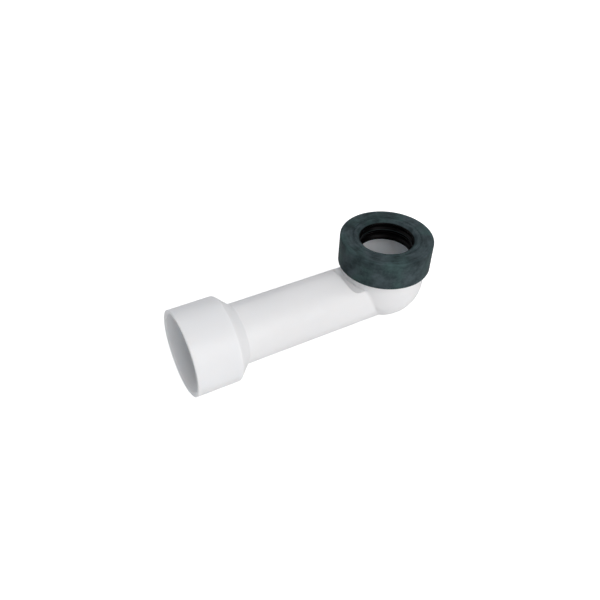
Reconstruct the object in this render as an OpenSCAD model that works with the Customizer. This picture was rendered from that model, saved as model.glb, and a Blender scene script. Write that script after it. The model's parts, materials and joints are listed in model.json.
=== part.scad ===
// Trap extension piece: a white waste fitting with a plain socket at one end of a
// straight pipe and, at the other, a ball-bottomed cup that turns the flow by a right
// angle. A black rubber seal caps the cup and grips the tail pipe pushed down into it.
//
// All sizes are in millimetres. The pipe's axis is X and the cup's axis is upright.
// The origin is where the end of a pipe pushed into the socket comes to rest.

/* [Pipe] */
// Outside diameter of the pipe
pipe_od = 40; // [36:0.5:44]
// Wall of the pipe
pipe_wall = 2.2; // [1.8:0.1:3]
// Socket's seat to the cup's axis
reach = 118; // [70:1:300]

/* [Socket] */
// Bore of the socket
socket_bore = 50.4; // [48:0.1:58]
// Wall of the socket and of its shoulder
socket_wall = 2.9; // [2:0.1:4]
// Socket's mouth to its seat
socket_depth = 30; // [20:1:60]
// Width of the bevel that leads a pipe into the mouth
lead_in = 0.9; // [0.4:0.1:1.5]
// Width of the ledge that stops the pipe
seat_ledge = 2.2; // [1:0.1:3]
// Slope of the shoulder from the pipe's axis
shoulder_angle = 45; // [30:1:60]
// Rounding of the shoulder's two edges
shoulder_round = 1.5; // [0.5:0.1:3]
// Rounding of the mouth's outer edge
mouth_round = 0.4; // [0.2:0.1:0.8]

/* [Cup] */
// Wall of the cup
cup_wall = 2.2; // [1.8:0.1:3]
// Pipe's axis to the cup's rim
cup_rise = 36; // [32:0.5:60]

/* [Saddle relief] */
// Gap between the seal's skirt and the relief's wall
relief_gap = 5; // [3:0.5:8]
// Drop from the skirt's foot to the relief's floor
relief_drop = 6.8; // [4:0.1:8]
// Rounding between the relief's floor and wall
relief_round = 4; // [1:0.5:5]

/* [Seal] */
// Wall of the skirt that grips the cup's outside
skirt_wall = 2.9; // [2:0.1:4.5]
// Height of the seal
seal_height = 20; // [14:0.5:24]
// Thickness of the seal over the cup's rim
cap_thickness = 4; // [3:0.1:5]
// Rounding of the seal's upper outer edge
cap_round = 2; // [0.5:0.1:3]
// Rounding of the seal's other edges
small_round = 0.5; // [0.2:0.1:0.8]

/* [Seal sleeve] */
// Bore of the sleeve at its lips
lip_bore = 35.4; // [33:0.1:38]
// Height of the flat land on each lip
lip_land = 1.6; // [1:0.1:2]
// Height of each lip above the sleeve's inner wall
lip_height = 1.3; // [0.6:0.1:1.6]
// Number of lips
lip_count = 3; // [2:1:4]
// Wall of the sleeve between its lips
sleeve_wall = 2.4; // [1.5:0.1:3]
// Gap between the sleeve and the plug, in which the sleeve flexes
flex_gap = 2; // [1.2:0.1:3]
// Seal's top to the end of the sleeve
sleeve_depth = 14.7; // [13:0.1:24]
// Wall of the plug that fills the cup's mouth
plug_wall = 2.5; // [1.5:0.1:3]
// Seal's top to the end of the plug
plug_depth = 15.5; // [10:0.1:24]
// Depth of the flexing groove in the seal's top
groove_depth = 0.6; // [0.2:0.1:0.8]
// Diameter of the tool that leaves the flexing groove
groove_tool = 1.6; // [1.2:0.1:3]

/* [Hidden] */

$fn = 96;
// Arc of one step on a rounded edge, in degrees
round_step = 15;
// How far a cutting tool runs past the face that it opens
past = 1;

pipe_r = pipe_od / 2;
pipe_bore_r = pipe_r - pipe_wall;

socket_bore_r = socket_bore / 2;
socket_r = socket_bore_r + socket_wall;
seat_r = socket_bore_r - seat_ledge;
// The shoulder keeps the socket's wall, measured square to its slope
shoulder_foot = (seat_r - pipe_bore_r) / tan(shoulder_angle);
shoulder_end = (seat_r - pipe_r) / tan(shoulder_angle) + socket_wall / sin(shoulder_angle);
shoulder_start = shoulder_end - (socket_r - pipe_r) / tan(shoulder_angle);

// From the tail pipe outwards: lips, sleeve, gap, plug, the cup's wall and the skirt
lip_r = lip_bore / 2;
sleeve_r = lip_r + lip_height;
sleeve_out_r = sleeve_r + sleeve_wall;
plug_in_r = sleeve_out_r + flex_gap;
cup_bore_r = plug_in_r + plug_wall;
cup_r = cup_bore_r + cup_wall;
seal_r = cup_r + skirt_wall;
groove_r = (sleeve_out_r + plug_in_r) / 2;

// The ball's underside is flush with the pipe's, outside and inside
ball_z = cup_r - pipe_r;
ball_bore_z = cup_bore_r - pipe_bore_r;

seal_top = cup_rise + cap_thickness;
skirt_end = seal_top - seal_height;
lip_pitch = (sleeve_depth - lip_land) / (lip_count - 1);

relief_r = seal_r + relief_gap;
relief_floor = skirt_end - relief_drop;

function unit(v) = v / norm(v);

// One corner of an outline, [x, y, radius], as the points of its arc
function rounded_corner(a, b, c) =
    let (
        tip = [b[0], b[1]],
        u = unit([a[0], a[1]] - tip),
        v = unit([c[0], c[1]] - tip),
        half = acos(u * v) / 2,
        centre = tip + unit(u + v) * b[2] / sin(half),
        start = tip + u * b[2] / tan(half) - centre,
        from = atan2(start[1], start[0]),
        side = u[0] * v[1] - u[1] * v[0] > 0 ? -1 : 1,
        turn = side * (180 - 2 * half),
        steps = ceil(abs(turn) / round_step)
    )
    [for (i = [0:steps]) centre + b[2] * [cos(from + turn * i / steps), sin(from + turn * i / steps)]];

// An outline of [x, y] corners, in which a third number rounds a corner to that radius
function outline(corners) =
    let (n = len(corners))
    [
        for (i = [0:n - 1])
            each len(corners[i]) == 2
                ? [corners[i]]
                : rounded_corner(corners[(i + n - 1) % n], corners[i], corners[(i + 1) % n])
    ];

// Turns an outline of [radius, x] about the pipe's axis
module turned_on_pipe(corners) {
    rotate([0, 90, 0]) rotate_extrude() polygon(outline(corners));
}

// Turns the shapes inside it, drawn as [radius, z], about the cup's axis
module turned_on_cup() {
    translate([reach, 0, 0]) rotate_extrude() children();
}

// A ball-bottomed cylinder on the cup's axis, filled in up to its top
module ball_cup(r, centre_z, top) {
    turned_on_cup() intersection() {
        translate([0, centre_z]) union() {
            circle(r);
            square([r, top - centre_z]);
        }
        translate([0, centre_z - r - past]) square([r, top - centre_z + r + past]);
    }
}

// Socket, shoulder and pipe, filled in
module run_outside() {
    turned_on_pipe([
        [0, -socket_depth],
        [socket_r, -socket_depth, mouth_round],
        [socket_r, shoulder_start, shoulder_round],
        [pipe_r, shoulder_end, shoulder_round],
        [pipe_r, reach],
        [0, reach]
    ]);
}

// The waterway from the socket's mouth to the cup's axis
module run_inside() {
    turned_on_pipe([
        [0, -socket_depth - past],
        [socket_bore_r + lead_in, -socket_depth - past],
        [socket_bore_r + lead_in, -socket_depth],
        [socket_bore_r, -socket_depth + lead_in],
        [socket_bore_r, 0],
        [seat_r, 0],
        [pipe_bore_r, shoulder_foot],
        [pipe_bore_r, reach],
        [0, reach]
    ]);
}

// The saddle cut across the pipe's crown so that the skirt clears it. The same shape,
// thicker by one wall, lowers the waterway's roof under the cut.
module saddle(thicker) {
    turned_on_cup() polygon(outline([
        [0, relief_floor - thicker],
        [relief_r + thicker, relief_floor - thicker, relief_round + thicker],
        [relief_r + thicker, seal_top],
        [0, seal_top]
    ]));
}

module pipe_body() {
    color("white") difference() {
        union() {
            difference() {
                run_outside();
                saddle(0);
            }
            ball_cup(cup_r, ball_z, cup_rise);
        }
        difference() {
            run_inside();
            saddle(pipe_wall);
        }
        ball_cup(cup_bore_r, ball_bore_z, cup_rise + past);
    }
}

// Corners of one lip, from its upper foot down to its lower one
function lip_corners(top) = [
    [sleeve_r, top + lip_height],
    [lip_r, top],
    [lip_r, top - lip_land],
    [sleeve_r, top - lip_land - lip_height]
];

module rubber_seal() {
    between_lips = [for (i = [1:lip_count - 2]) each lip_corners(seal_top - i * lip_pitch)];
    color("darkslategray") turned_on_cup() difference() {
        polygon(outline(concat(
            [
                [seal_r, skirt_end, small_round],
                [seal_r, seal_top, cap_round],
                [lip_r, seal_top, small_round],
                [lip_r, seal_top - lip_land],
                [sleeve_r, seal_top - lip_land - lip_height]
            ],
            between_lips,
            [
                [sleeve_r, seal_top - sleeve_depth + lip_land + lip_height],
                [lip_r, seal_top - sleeve_depth + lip_land],
                [lip_r, seal_top - sleeve_depth],
                [sleeve_out_r, seal_top - sleeve_depth, small_round],
                [sleeve_out_r, cup_rise - small_round, small_round],
                [plug_in_r, cup_rise - small_round, small_round],
                [plug_in_r, seal_top - plug_depth, small_round],
                [cup_bore_r, seal_top - plug_depth, small_round],
                [cup_bore_r, cup_rise],
                [cup_r, cup_rise],
                [cup_r, skirt_end, small_round]
            ]
        )));
        translate([groove_r, seal_top + groove_tool / 2 - groove_depth]) circle(groove_tool / 2);
    }
}

pipe_body();
rubber_seal();
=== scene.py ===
# %% [markdown]
# # A trap extension piece
#
# This lesson dresses a waste fitting: a white plastic socket and pipe that turn up into
# a round cup, capped by a black rubber seal. The fitting's construction is already
# settled in a CAD model. Here each of its two mouldings is made again as a fine mesh
# with soft edges, gets a finish made of shader nodes, and is lit and framed by a camera.

import json
import math

import bmesh
import bpy
from mathutils import Matrix, Vector


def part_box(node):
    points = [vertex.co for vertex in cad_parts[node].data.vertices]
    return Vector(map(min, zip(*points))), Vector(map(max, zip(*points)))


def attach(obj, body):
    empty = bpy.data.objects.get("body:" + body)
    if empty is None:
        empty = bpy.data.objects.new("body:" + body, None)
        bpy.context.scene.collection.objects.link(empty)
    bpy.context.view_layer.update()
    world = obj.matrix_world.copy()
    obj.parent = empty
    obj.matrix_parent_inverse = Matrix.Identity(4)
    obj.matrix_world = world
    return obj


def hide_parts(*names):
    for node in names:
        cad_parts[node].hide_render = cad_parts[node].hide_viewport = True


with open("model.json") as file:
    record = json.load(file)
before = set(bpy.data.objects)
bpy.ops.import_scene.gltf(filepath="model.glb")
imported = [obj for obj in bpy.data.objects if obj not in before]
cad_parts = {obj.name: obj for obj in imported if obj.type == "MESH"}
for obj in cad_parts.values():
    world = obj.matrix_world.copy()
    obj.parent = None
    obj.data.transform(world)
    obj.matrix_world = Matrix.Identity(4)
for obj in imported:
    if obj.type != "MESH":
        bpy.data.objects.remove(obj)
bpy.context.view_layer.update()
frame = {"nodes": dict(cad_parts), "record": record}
print("CAD nodes:", sorted(frame["nodes"]))

# %% [markdown]
# ## Sizes
#
# A mesh that stands for a real part takes its sizes from that part and never from a
# guess. The two openings are stated in the record, and the outside sizes are read from
# the boxes of the CAD nodes. A box comes from a faceted mesh, so its numbers are rounded
# to a tenth of a millimetre. Only wall thicknesses and small roundings are written here.

# %% Read the main sizes
MM = 0.001
TENTH = 0.1 * MM

mounts = {mount["name"]: mount for mount in frame["record"]["mounts"]}
body_low, body_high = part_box("pipe_body")
seal_low, seal_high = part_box("rubber_seal")


def tidy(length):
    return round(length / TENTH) * TENTH


cup_x = mounts["seal_bore"]["pos_m"][0]
socket_bore_r = mounts["socket"]["dims"]["r_mm"] * MM
lip_r = mounts["seal_bore"]["dims"]["r_mm"] * MM

mouth_x = tidy(body_low.x)
socket_r = tidy(body_high.y)
cup_r = tidy(body_high.x - cup_x)
cup_top = tidy(body_high.z)
seal_r = tidy(seal_high.x - cup_x)
seal_top = tidy(seal_high.z)
skirt_end = tidy(seal_low.z)
print(f"socket {2 * socket_r / MM:.1f} mm across, seal {2 * seal_r / MM:.1f} mm across")

# %% [markdown]
# ## Outlines with rounded corners
#
# Every form on this fitting was turned: a toolmaker cuts each mould on a lathe, so one
# outline and one axis describe it. In Blender an outline is a wire of a few corners, and
# a vertex bevel with a profile of 0.5 makes a corner a true arc. A bevel is measured
# along the two edges, so the radius is first changed into that setback.

# %% Draw an outline as a wire
ARC_STEP = math.radians(7.5)
WELD = 0.001 * MM


def round_corner(bm, vert, radius):
    before, after = ((edge.other_vert(vert).co - vert.co) for edge in vert.link_edges)
    turn = math.pi - before.angle(after)
    bmesh.ops.bevel(
        bm,
        geom=[vert],
        offset=radius * math.tan(turn / 2),
        offset_type="OFFSET",
        segments=max(3, math.ceil(turn / ARC_STEP)),
        profile=0.5,
        affect="VERTICES",
        material=-1,
        clamp_overlap=False,
    )


def outline(corners, closed=False):
    """A wire in the XZ plane. A third number in a corner is its rounding."""
    bm = bmesh.new()
    verts = [bm.verts.new((corner[0], 0, corner[1])) for corner in corners]
    pairs = list(zip(verts, verts[1:]))
    if closed:
        pairs.append((verts[-1], verts[0]))
    for pair in pairs:
        bm.edges.new(pair)
    for vert, corner in zip(verts, corners):
        if len(corner) == 3:
            round_corner(bm, vert, corner[2])
    return bm


# %% [markdown]
# ## Turning an outline
#
# The spin operator works like the lathe. A full spin has to weld its last copy to its
# first, and the points that lie on the axis fall together into a pole, so doubles are
# merged before the normals are worked out.

# %% Turn an outline into a solid
TURN_STEPS = 192
PIPE_AXIS = (1, 0, 0)
CUP_AXIS = (0, 0, 1)


def turned(name, corners, axis, closed=False):
    bm = outline(corners, closed)
    bmesh.ops.spin(
        bm,
        geom=bm.verts[:] + bm.edges[:],
        cent=(cup_x, 0, 0),
        axis=axis,
        angle=math.tau,
        steps=TURN_STEPS,
        use_merge=True,
    )
    return finished(name, bm)


def finished(name, bm):
    """Welds and turns a bmesh's faces outwards, and links it as an object."""
    bmesh.ops.remove_doubles(bm, verts=bm.verts[:], dist=WELD)
    bmesh.ops.recalc_face_normals(bm, faces=bm.faces[:])
    mesh = bpy.data.meshes.new(name)
    bm.to_mesh(mesh)
    bm.free()
    piece = bpy.data.objects.new(name, mesh)
    bpy.context.scene.collection.objects.link(piece)
    return piece


# %% [markdown]
# ## Socket, shoulder and pipe
#
# The socket is wide enough to take a pipe of the next size up. Its shoulder slopes down
# to the pipe at 45 degrees and both its edges are softly rounded, as they are in the
# mould. The outline runs from the axis at the mouth, round the outside and along to the
# cup's axis. The pipe's axis crosses the cup's axis, so one centre serves both spins.

# %% Turn the outside of the run
pipe_r = 20 * MM
pipe_wall = 2.2 * MM
socket_wall = socket_r - socket_bore_r
seat_r = socket_bore_r - 2.2 * MM
mouth_round = 0.4 * MM
shoulder_round = 1.5 * MM

# At 45 degrees a slope runs as far along the pipe as it drops towards it
shoulder_end = seat_r - pipe_r + socket_wall * math.sqrt(2)
shoulder_start = shoulder_end - (socket_r - pipe_r)

run_outside = turned(
    "run_outside",
    [
        (mouth_x, 0),
        (mouth_x, socket_r, mouth_round),
        (shoulder_start, socket_r, shoulder_round),
        (shoulder_end, pipe_r, shoulder_round),
        (cup_x, pipe_r),
        (cup_x, 0),
    ],
    PIPE_AXIS,
)
print(f"shoulder from x {shoulder_start / MM:.1f} to {shoulder_end / MM:.1f} mm")

# %% [markdown]
# ## The ball-bottomed cup
#
# The run ends in an upright cup with a bottom shaped like half a ball, flush with the
# pipe's underside so that water drains away. In the outline the ball is just a corner
# whose rounding is as large as the cup's radius.

# %% Turn the cup
pipe_bore_r = pipe_r - pipe_wall
cup_wall = 2.2 * MM
cup_bore_r = cup_r - cup_wall
past = 1 * MM


def ball_cup(name, radius, bottom_z, top_z):
    return turned(
        name,
        [
            (cup_x, bottom_z),
            (cup_x + radius, bottom_z, radius),
            (cup_x + radius, top_z),
            (cup_x, top_z),
        ],
        CUP_AXIS,
    )


cup = ball_cup("cup", cup_r, -pipe_r, cup_top)
cup_inside = ball_cup("cup_inside", cup_bore_r, -pipe_bore_r, cup_top + past)
print(f"cup {2 * cup_r / MM:.1f} mm across, its rim at z {cup_top / MM:.1f} mm")

# %% [markdown]
# ## The saddle relief
#
# The seal's skirt hangs lower than the pipe's crown, so the mould takes a round bite out
# of the pipe beside the cup. Inside, the waterway's roof comes down under the bite to
# keep the wall whole. One outline makes both: the bite itself, and the same shape one
# wall thicker.

# %% Turn the tool that cuts the saddle
relief_r = seal_r + 5 * MM
relief_floor = skirt_end - 6.8 * MM
relief_round = 4 * MM


def saddle(name, thicker):
    return turned(
        name,
        [
            (cup_x, relief_floor - thicker),
            (cup_x + relief_r + thicker, relief_floor - thicker, relief_round + thicker),
            (cup_x + relief_r + thicker, seal_top),
            (cup_x, seal_top),
        ],
        CUP_AXIS,
    )


print(f"saddle floor at z {relief_floor / MM:.1f} mm")

# %% [markdown]
# ## The soft crease
#
# Where the pipe runs into the cup the real moulding has no sharp corner. Its fillet is
# the shape that a small ball leaves when it rolls along the crease and touches both
# walls. No operator makes it between two round surfaces, so the ball's path is worked
# out. Each place of the ball gives one section: an arc from wall to wall, closed by a
# root that is sunk in the plastic. The arc is a hair larger than the ball, so that its
# ends sink in too: skins that only touch would spoil the joining that comes later. The
# sections are bridged, and the solid is mirrored.

# %% Make the fillet between pipe and cup
fillet_r = 3 * MM
fillet_bite = 0.03 * MM
ball_z = cup_r - pipe_r
FILLET_FROM = math.radians(-82)
FILLET_TO = math.radians(50)
FILLET_SECTIONS = 67
FILLET_STEPS = 10


def fillet_section(bm, angle):
    """One closed loop of edges, where the ball touches the pipe at this angle."""
    outwards = Vector((0, math.cos(angle), math.sin(angle)))
    centre = outwards * (pipe_r + fillet_r)
    drop = min(centre.z - ball_z, 0)
    reach = cup_r + fillet_r
    centre.x = cup_x - math.sqrt(reach**2 - centre.y**2 - drop**2)
    to_pipe = -outwards
    to_cup = Vector((cup_x - centre.x, -centre.y, -drop)).normalized()
    arc = [to_pipe.slerp(to_cup, step / FILLET_STEPS) for step in range(FILLET_STEPS + 1)]
    root = (to_pipe + to_cup) * 1.15 / (1 + to_pipe.dot(to_cup))
    verts = [bm.verts.new(centre + (fillet_r + fillet_bite) * point) for point in [*arc, root]]
    return [bm.edges.new(pair) for pair in zip(verts, verts[1:] + verts[:1])]


def crease_fillet():
    bm = bmesh.new()
    span = FILLET_TO - FILLET_FROM
    loops = [
        fillet_section(bm, FILLET_FROM + span * number / (FILLET_SECTIONS - 1))
        for number in range(FILLET_SECTIONS)
    ]
    for pair in zip(loops, loops[1:]):
        bmesh.ops.bridge_loops(bm, edges=pair[0] + pair[1])
    for end in (loops[0], loops[-1]):
        bmesh.ops.contextual_create(bm, geom=end)
    bmesh.ops.mirror(bm, geom=bm.verts[:] + bm.edges[:] + bm.faces[:], axis="Y")
    return finished("crease_fillet", bm)


fillet = crease_fillet()
print("fillet faces:", len(fillet.data.polygons))

# %% [markdown]
# ## The waterway
#
# A plain core fills the run while the plastic sets round it. It leaves a lead-in at the
# mouth, a straight bore for the pushed-in pipe, a ledge that stops that pipe and a
# slope down to the waterway. The core is cut back under the saddle before it is used.

# %% Turn the core of the run
socket_lead_in = 0.9 * MM
shoulder_foot = seat_r - pipe_bore_r

run_inside = turned(
    "run_inside",
    [
        (mouth_x - past, 0),
        (mouth_x - past, socket_bore_r + socket_lead_in),
        (mouth_x, socket_bore_r + socket_lead_in),
        (mouth_x + socket_lead_in, socket_bore_r),
        (0, socket_bore_r),
        (0, seat_r),
        (shoulder_foot, pipe_bore_r),
        (cup_x, pipe_bore_r),
        (cup_x, 0),
    ],
    PIPE_AXIS,
)

# %% [markdown]
# ## Joining the forms into one moulding
#
# The Boolean modifier adds and cuts, which suits hard plastic with even walls. Its
# Manifold solver gives back a closed skin for closed tools, where the other solvers can
# leave loose walls inside. The stack runs in order: fillet on, saddle off, cup on,
# waterway out. Its result is baked into one mesh, because a finished moulding is one
# skin. Where two skins nearly touch, as pipe and ball do underneath, slivers thinner than
# a hair are left. Welding their corners together removes them, and the many-sided faces
# are cut into triangles here, where the result can be tested: a closed skin has exactly
# two faces at every edge.

# %% Add and cut with Booleans
SLIVER = 0.005 * MM


def weld_slivers(mesh):
    bm = bmesh.new()
    bm.from_mesh(mesh)
    bmesh.ops.remove_doubles(bm, verts=bm.verts[:], dist=SLIVER)
    many_sided = [face for face in bm.faces if len(face.verts) > 4]
    bmesh.ops.triangulate(bm, faces=many_sided)
    open_edges = sum(not edge.is_manifold for edge in bm.edges)
    volume = bm.calc_volume() / MM**3
    print(f"{open_edges} edges don't join two faces, volume {volume:.0f} cubic mm")
    bm.to_mesh(mesh)
    bm.free()


def machined(piece, *steps):
    """Adds or cuts each tool in turn, and keeps the result as the piece's mesh."""
    for operation, tool in steps:
        modifier = piece.modifiers.new(tool.name, "BOOLEAN")
        modifier.operation = operation
        modifier.solver = "MANIFOLD"
        modifier.object = tool
    graph = bpy.context.evaluated_depsgraph_get()
    blank = piece.data
    piece.data = bpy.data.meshes.new_from_object(piece.evaluated_get(graph))
    piece.modifiers.clear()
    bpy.data.meshes.remove(blank)
    for _, tool in steps:
        bpy.data.meshes.remove(tool.data)
    weld_slivers(piece.data)
    return piece


waterway = machined(run_inside, ("DIFFERENCE", saddle("roof_tool", pipe_wall)))
moulding = machined(
    run_outside,
    ("UNION", fillet),
    ("DIFFERENCE", saddle("saddle_tool", 0)),
    ("UNION", cup),
    ("DIFFERENCE", waterway),
    ("DIFFERENCE", cup_inside),
)
moulding.name = "white_moulding"
print("white moulding faces:", len(moulding.data.polygons))

# %% [markdown]
# ## Smooth skin, crisp edges
#
# Rounded surfaces are shaded smooth and true corners stay sharp, so every edge steeper
# than a set angle is marked. Booleans leave long thin faces, and the Weighted Normal
# modifier lets the large faces decide how such a skin is shaded.

# %% Shade a piece


def shade(piece, sharp_degrees):
    mesh = piece.data
    mesh.shade_smooth()
    mesh.set_sharp_from_angle(angle=math.radians(sharp_degrees))
    normals = piece.modifiers.new("weighted_normals", "WEIGHTED_NORMAL")
    normals.keep_sharp = True


shade(moulding, 28)
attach(moulding, "root")
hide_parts("pipe_body")

# %% [markdown]
# ## The rubber seal
#
# The seal caps the cup's rim like an upside-down channel: a skirt grips the outside, a
# plug fills the mouth, and a sleeve with three lips grips the tail pipe pushed down the
# middle. A small funnel leads that pipe in. All of it shows in one closed outline, which
# is spun once round the cup's axis. Rubber comes out of its mould with soft edges, so
# nearly every corner is rounded.

# %% Draw the seal's section
cap_round = 1.0 * MM
foot_round = 0.2 * MM
lip_round = 0.3 * MM
small_round = 0.4 * MM
lip_height = 1.3 * MM
lip_land = 1.6 * MM
lip_count = 3
sleeve_depth = 14.7 * MM
plug_depth = 15.5 * MM
flex_gap = 2 * MM
sleeve_r = lip_r + lip_height
sleeve_out_r = sleeve_r + 2.4 * MM
plug_in_r = sleeve_out_r + flex_gap
slot_roof = cup_top - small_round
lip_pitch = (sleeve_depth - lip_land) / (lip_count - 1)


def lip(number):
    """The four corners of one lip, from its upper foot down to its lower foot."""
    top = seal_top - number * lip_pitch
    return [
        (sleeve_r, top + lip_height),
        (lip_r, top, lip_round),
        (lip_r, top - lip_land, lip_round),
        (sleeve_r, top - lip_land - lip_height),
    ]


groove_r = (sleeve_out_r + plug_in_r) / 2
groove_half_width = 0.9 * MM
groove_depth = 0.6 * MM
groove_round = 0.3 * MM
funnel_width = 2.3 * MM
funnel_depth = 2.1 * MM
crest = seal_top - funnel_depth - 0.4 * MM

seal_section = [
    (seal_r, skirt_end, foot_round),
    (seal_r, seal_top, cap_round),
    (groove_r + groove_half_width, seal_top, groove_round),
    (groove_r, seal_top - groove_depth, groove_round),
    (groove_r - groove_half_width, seal_top, groove_round),
    (lip_r + funnel_width, seal_top, 0.8 * MM),
    (lip_r, seal_top - funnel_depth, small_round),
    (lip_r, crest, small_round),
    (sleeve_r, crest - lip_height),
]
for number in range(1, lip_count - 1):
    seal_section += lip(number)
seal_section += [
    (sleeve_r, seal_top - sleeve_depth + lip_land + lip_height),
    (lip_r, seal_top - sleeve_depth + lip_land, lip_round),
    (lip_r, seal_top - sleeve_depth, lip_round),
    (sleeve_out_r, seal_top - sleeve_depth, small_round),
    (sleeve_out_r, slot_roof, small_round),
    (plug_in_r, slot_roof, small_round),
    (plug_in_r, seal_top - plug_depth, small_round),
    (cup_bore_r, seal_top - plug_depth, small_round),
    (cup_bore_r, cup_top),
    (cup_r, cup_top),
    (cup_r, skirt_end, small_round),
]
print("corners in the seal's section:", len(seal_section))

# %% Turn the seal
seal = turned(
    "seal_ring",
    [(cup_x + corner[0], *corner[1:]) for corner in seal_section],
    CUP_AXIS,
    closed=True,
)
shade(seal, 28)
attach(seal, "root")
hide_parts("rubber_seal")
print("seal faces:", len(seal.data.polygons))

# %% [markdown]
# ## Shader sums written as Python
#
# A finish is a small network of nodes, and most of it is arithmetic. Wrapping a node's
# output in a class with its own plus and times lets a sum be written as a sum: every
# operation adds one Math node. All other nodes come from one function.

# %% A wrapper for sockets


def node(tree, kind, settings, sockets, output=0):
    """Adds a node, applies its settings first and then its sockets' values or links."""
    made = tree.nodes.new(kind)
    for name, value in settings.items():
        setattr(made, name, value)
    for key, value in sockets.items():
        if isinstance(value, Wire):
            tree.links.new(value.socket, made.inputs[key])
        else:
            made.inputs[key].default_value = value
    return Wire(made.outputs[output])


class Wire:
    """One output of a node. Sums of wires and numbers become Math nodes."""

    def __init__(self, socket):
        self.socket = socket

    def of(self, output):
        """Another output of the same node."""
        return Wire(self.socket.node.outputs[output])

    def math(self, operation, *values):
        tree = self.socket.id_data
        return node(tree, "ShaderNodeMath", {"operation": operation}, dict(enumerate(values)))

    def __add__(self, other):
        return self.math("ADD", self, other)

    def __sub__(self, other):
        return self.math("SUBTRACT", self, other)

    def __rsub__(self, other):
        return self.math("SUBTRACT", other, self)

    def __mul__(self, other):
        return self.math("MULTIPLY", self, other)

    def __truediv__(self, other):
        return self.math("DIVIDE", self, other)

    __radd__ = __add__
    __rmul__ = __mul__


# %% Nodes that both finishes use


def noise(tree, place, size, detail=2.0):
    """Soft random blotches from 0 to 1, each about as wide as size."""
    sockets = {"Vector": place, "Scale": 1 / size, "Detail": detail}
    return node(tree, "ShaderNodeTexNoise", {}, sockets, "Fac")


def ramp(tree, value, low, high):
    """0 below low and 1 above high, with a smooth climb between them."""
    settings = {"interpolation_type": "SMOOTHSTEP"}
    sockets = {"Value": value, "From Min": low, "From Max": high}
    return node(tree, "ShaderNodeMapRange", settings, sockets)


def mixed(tree, factor, first, second):
    """A colour between two colours. Sockets 6 and 7 are the Mix node's colours."""
    settings = {"data_type": "RGBA"}
    sockets = {"Factor": factor, 6: first, 7: second}
    return node(tree, "ShaderNodeMix", settings, sockets, 2)


def bumped(tree, height, depth):
    """A normal that pretends the surface rises by depth where height is 1."""
    sockets = {"Height": height, "Distance": depth, "Strength": 1.0}
    return node(tree, "ShaderNodeBump", {}, sockets, "Normal")


def new_finish(name):
    """An empty material and its node tree."""
    material = bpy.data.materials.new(name)
    material.use_nodes = True
    material.node_tree.nodes.clear()
    return material, material.node_tree


def close(tree, shader, kind="ShaderNodeOutputMaterial"):
    """Ends a network in its output node."""
    output = tree.nodes.new(kind)
    tree.links.new(shader.socket, output.inputs["Surface"])


# %% [markdown]
# ## White plastic
#
# Moulded white plastic is never one flat white. Its skin has a satin gloss that varies
# a little, a very fine orange peel left by the mould, and a faint cool tint that drifts
# over the part. Light also soaks a few millimetres into it before it comes out again,
# which softens the shading, so the shader scatters under the surface.

# %% Make the white plastic


def white_plastic():
    material, tree = new_finish("white_plastic_finish")
    place = node(tree, "ShaderNodeTexCoord", {}, {}, "Object")
    drift = noise(tree, place, 30 * MM)
    cloud = noise(tree, place, 6 * MM)
    peel = noise(tree, place, 1.1 * MM, 3.0)
    shader = node(
        tree,
        "ShaderNodeBsdfPrincipled",
        {},
        {
            "Base Color": mixed(tree, drift, (0.80, 0.81, 0.82, 1), (0.83, 0.835, 0.84, 1)),
            "Roughness": 0.34 + 0.1 * cloud,
            "IOR": 1.49,
            "Specular IOR Level": 0.4,
            "Subsurface Weight": 1.0,
            "Subsurface Radius": (0.95, 1.0, 1.03),
            "Subsurface Scale": 3 * MM,
            "Normal": bumped(tree, peel, 0.02 * MM),
        },
    )
    close(tree, shader)
    return material


moulding.data.materials.clear()
moulding.data.materials.append(white_plastic())

# %% [markdown]
# ## Black rubber with a bloom
#
# Black rubber that has lain in a store grows a thin grey-green bloom: wax and dusting
# powder that come to the skin. It is mottled, and smeared into streaks that run round
# the ring. A ring of slightly paler bloom along the top's outer edge is a painted
# highlight. Nothing has touched the bore, which stays black and glossy, apart from a thin
# pale band on the middle lip's edge, which is a painted highlight. The streaks use the
# direction round the axis and the distance from it, so the pattern has no seam. A noise
# pattern may start anywhere: one shift slides it until its dark and pale patches fall
# about where the real ones do.

# %% Make the rubber
MOTTLE_SHIFT = (-0.942, -0.141, -0.663)


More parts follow.
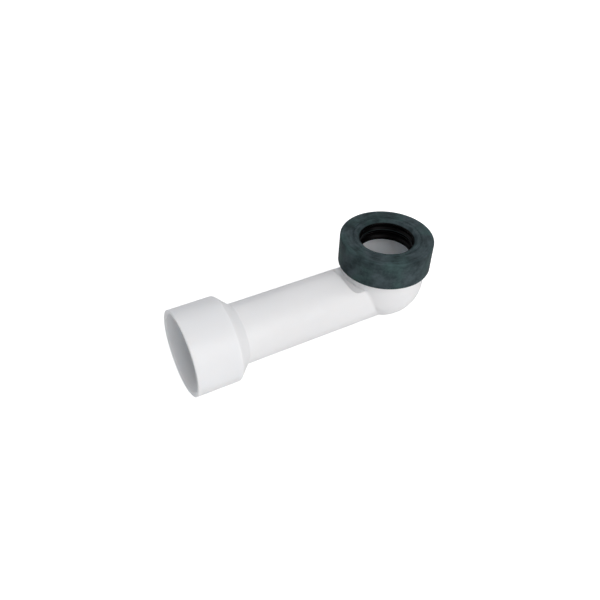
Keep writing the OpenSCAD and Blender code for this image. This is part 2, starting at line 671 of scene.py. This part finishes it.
def black_rubber():
    material, tree = new_finish("black_rubber_finish")
    place = node(tree, "ShaderNodeTexCoord", {}, {}, "Object")
    centring = {"Vector": place, "Location": (-cup_x, 0, 0), "Scale": (1, 1, 0)}
    flat = node(tree, "ShaderNodeMapping", {}, centring)
    radius = node(tree, "ShaderNodeVectorMath", {"operation": "LENGTH"}, {0: flat}, "Value")
    round_the_ring = node(tree, "ShaderNodeVectorMath", {"operation": "NORMALIZE"}, {0: flat})
    height = node(tree, "ShaderNodeSeparateXYZ", {}, {"Vector": place}, "Z")
    across = node(tree, "ShaderNodeCombineXYZ", {}, {"Z": (radius - height) / (1.3 * MM)})
    smeared = {0: round_the_ring, 1: (3.5, 3.5, 0), 2: across}
    streak_place = node(tree, "ShaderNodeVectorMath", {"operation": "MULTIPLY_ADD"}, smeared)
    streaks = noise(tree, streak_place, 1, 2.0)
    shifted = node(tree, "ShaderNodeVectorMath", {}, {0: place, 1: MOTTLE_SHIFT})
    mottle = noise(tree, shifted, 9 * MM, 5.0)
    speckle = noise(tree, shifted, 1.5 * MM, 3.0)
    hue = noise(tree, shifted, 16 * MM)

    on_top = ramp(tree, height, seal_top - 1.4 * MM, seal_top - 0.6 * MM)
    # A ring along the top's outer edge makes the bloom there a little paler: a painted highlight.
    painted_rim_highlight = ramp(tree, radius, seal_r - 3.2 * MM, seal_r - 1.8 * MM) * on_top
    smear = (0.12 + 0.25 * on_top) * (streaks - 0.5)
    powder_and_rim_highlight = 0.75 * mottle + 0.25 * speckle + smear + 0.05 * painted_rim_highlight
    bloom_and_rim_highlight = ramp(tree, powder_and_rim_highlight, 0.22, 0.78)
    tint = mixed(tree, ramp(tree, hue, 0.4, 0.6), (0.056, 0.094, 0.094, 1), (0.068, 0.092, 0.101, 1))
    bloom_colour_and_rim_highlight = mixed(tree, bloom_and_rim_highlight, (0.014, 0.024, 0.026, 1), tint)

    above_lip = ramp(tree, height, crest - 0.2 * MM, crest + 0.2 * MM)
    in_funnel = above_lip * ramp(tree, radius, lip_r + 0.4 * MM, lip_r + 0.9 * MM)
    past_funnel = ramp(tree, radius, sleeve_r + 0.4 * MM, sleeve_r + 0.9 * MM)
    # The middle lip's upper edge gets a thin band of the pale bloom colour: a painted highlight.
    lip_edge = seal_top - lip_pitch
    below_edge = 1 - ramp(tree, height, lip_edge, lip_edge + 0.15 * MM)
    painted_lip_highlight = below_edge * ramp(tree, height, lip_edge - 0.4 * MM, lip_edge - 0.25 * MM)
    bloom_area_and_lip_highlight = in_funnel.math("MAXIMUM", in_funnel, past_funnel)
    # The bloomed area also takes the painted lip highlight, at 0.4 of its strength.
    bloom_area_and_lip_highlight = bloom_area_and_lip_highlight.math("MAXIMUM", bloom_area_and_lip_highlight, 0.4 * painted_lip_highlight)
    shader = node(
        tree,
        "ShaderNodeBsdfPrincipled",
        {},
        {
            "Base Color": mixed(tree, bloom_area_and_lip_highlight, (0.001, 0.0008, 0.0008, 1), bloom_colour_and_rim_highlight),
            "Roughness": 0.3 + bloom_area_and_lip_highlight * (0.2 + 0.1 * bloom_and_rim_highlight),
            "IOR": 1.45,
            "Specular IOR Level": 0.06,
            "Normal": bumped(tree, bloom_area_and_lip_highlight * (0.6 * mottle + 0.4 * speckle), 0.08 * MM),
        },
    )
    close(tree, shader)
    return material


seal.data.materials.clear()
seal.data.materials.append(black_rubber())

# %% [markdown]
# ## Floor and backdrop
#
# The fitting is shown on plain white. Light that only has to look white must not light
# the fitting as well, so the Light Path node separates the rays. The camera sees a white
# floor and a white world. All other rays see the floor's own pale colour and a dim sky.
# The floor still darkens where the fitting shades it, which leaves a faint shadow, and it
# glows more further out, where the lamps no longer reach, so that no horizon shows.

# %% Make the floor and the world


def seen_directly(tree):
    """1 for rays from the camera, also through glass, and 0 for the rest."""
    path = node(tree, "ShaderNodeLightPath", {}, {}, "Is Camera Ray")
    return path.math("MAXIMUM", path, path.of("Is Transmission Ray"))


def floor_paint():
    material, tree = new_finish("floor_paint")
    place = node(tree, "ShaderNodeTexCoord", {}, {}, "Object")
    distance = node(tree, "ShaderNodeVectorMath", {"operation": "LENGTH"}, {0: place}, "Value")
    glow = mixed(tree, ramp(tree, distance, 0.3, 1.0), (0.62, 0.62, 0.62, 1), (1, 1, 1, 1))
    lift = mixed(tree, seen_directly(tree), (0, 0, 0, 1), glow)
    sockets = {"Base Color": (0.88, 0.88, 0.88, 1), "Roughness": 1.0, "Emission Color": lift}
    sockets["Emission Strength"] = 1.0
    sockets["Specular IOR Level"] = 0.0
    close(tree, node(tree, "ShaderNodeBsdfPrincipled", {}, sockets))
    return material


FLOOR_HALF = 3.0
bm = bmesh.new()
lowest = Matrix.Translation((0, 0, -socket_r))
bmesh.ops.create_grid(bm, x_segments=4, y_segments=4, size=FLOOR_HALF, matrix=lowest)
floor = finished("floor", bm)
floor.data.materials.append(floor_paint())

world = bpy.data.worlds.new("soft_sky")
bpy.context.scene.world = world
world.use_nodes = True
world.node_tree.nodes.clear()
sky = mixed(world.node_tree, seen_directly(world.node_tree), (0.12, 0.12, 0.13, 1), (1, 1, 1, 1))
close(
    world.node_tree,
    node(world.node_tree, "ShaderNodeBackground", {}, {"Color": sky, "Strength": 1.0}),
    "ShaderNodeOutputWorld",
)
print(f"floor at z {-socket_r / MM:.1f} mm")

# %% [markdown]
# ## Soft light
#
# The fitting stands in a light tent. A large lamp in front of it, a little above, does
# most of the work. A second hangs overhead, and two weaker ones behind it keep its back
# from going dark. The floor and a faint sky fill the rest. Each lamp is as wide as it is far away,
# so no shadow has a hard edge.

# %% Place the lamps
subject = Vector((0.053, 0, 0.010))


def back_from(azimuth, elevation):
    """The direction from the subject to a viewer. Azimuth 0 stands in front of it."""
    level = math.cos(elevation)
    return Vector((math.sin(azimuth) * level, -math.cos(azimuth) * level, math.sin(elevation)))


def soft_lamp(name, azimuth, elevation, distance, width, power, colour):
    lamp = bpy.data.lights.new(name, "AREA")
    lamp.shape = "SQUARE"
    lamp.size = width
    lamp.energy = power
    lamp.color = colour
    holder = bpy.data.objects.new(name, lamp)
    back = back_from(math.radians(azimuth), math.radians(elevation))
    holder.location = subject + back * distance
    holder.rotation_euler = back.to_track_quat("Z", "Y").to_euler()
    bpy.context.scene.collection.objects.link(holder)


soft_lamp("front_lamp", 4, 30, 0.9, 0.8, 6.6, (1.0, 0.99, 0.985))
soft_lamp("top_lamp", 0, 88, 0.9, 0.8, 1.1, (1.0, 0.99, 0.99))
soft_lamp("left_back_lamp", -135, 40, 0.9, 0.8, 2.2, (0.98, 0.985, 1.0))
soft_lamp("right_back_lamp", 135, 40, 0.9, 0.8, 2.0, (0.98, 0.985, 1.0))

# %% [markdown]
# ## Camera
#
# The camera stands close, about 40 cm away, which makes the near socket look larger
# than the far end. It looks down at 40 degrees and from 31 degrees to the left, and is
# tilted by 2 degrees about its own line of sight.

# %% Place the camera
camera_azimuth = math.radians(-30.75)
camera_elevation = math.radians(40.40)
camera_distance = 0.40987
camera_tilt = math.radians(2.05)
aim = Vector((0.0531, 0, 0.0104))

camera_data = bpy.data.cameras.new("camera")
camera_data.sensor_width = 36
camera_data.lens = 37.913
camera = bpy.data.objects.new("camera", camera_data)
bpy.context.scene.collection.objects.link(camera)
bpy.context.scene.camera = camera

back = back_from(camera_azimuth, camera_elevation)
level_right = Vector((0, 0, 1)).cross(back).normalized()
level_up = back.cross(level_right)
right = level_right * math.cos(camera_tilt) + level_up * math.sin(camera_tilt)
up = back.cross(right)
turn = Matrix((right, up, back)).transposed()
camera.matrix_world = Matrix.Translation(aim + back * camera_distance) @ turn.to_4x4()
bpy.context.scene.view_settings.view_transform = "Standard"
print("camera at", [round(value / MM) for value in camera.matrix_world.translation], "mm")
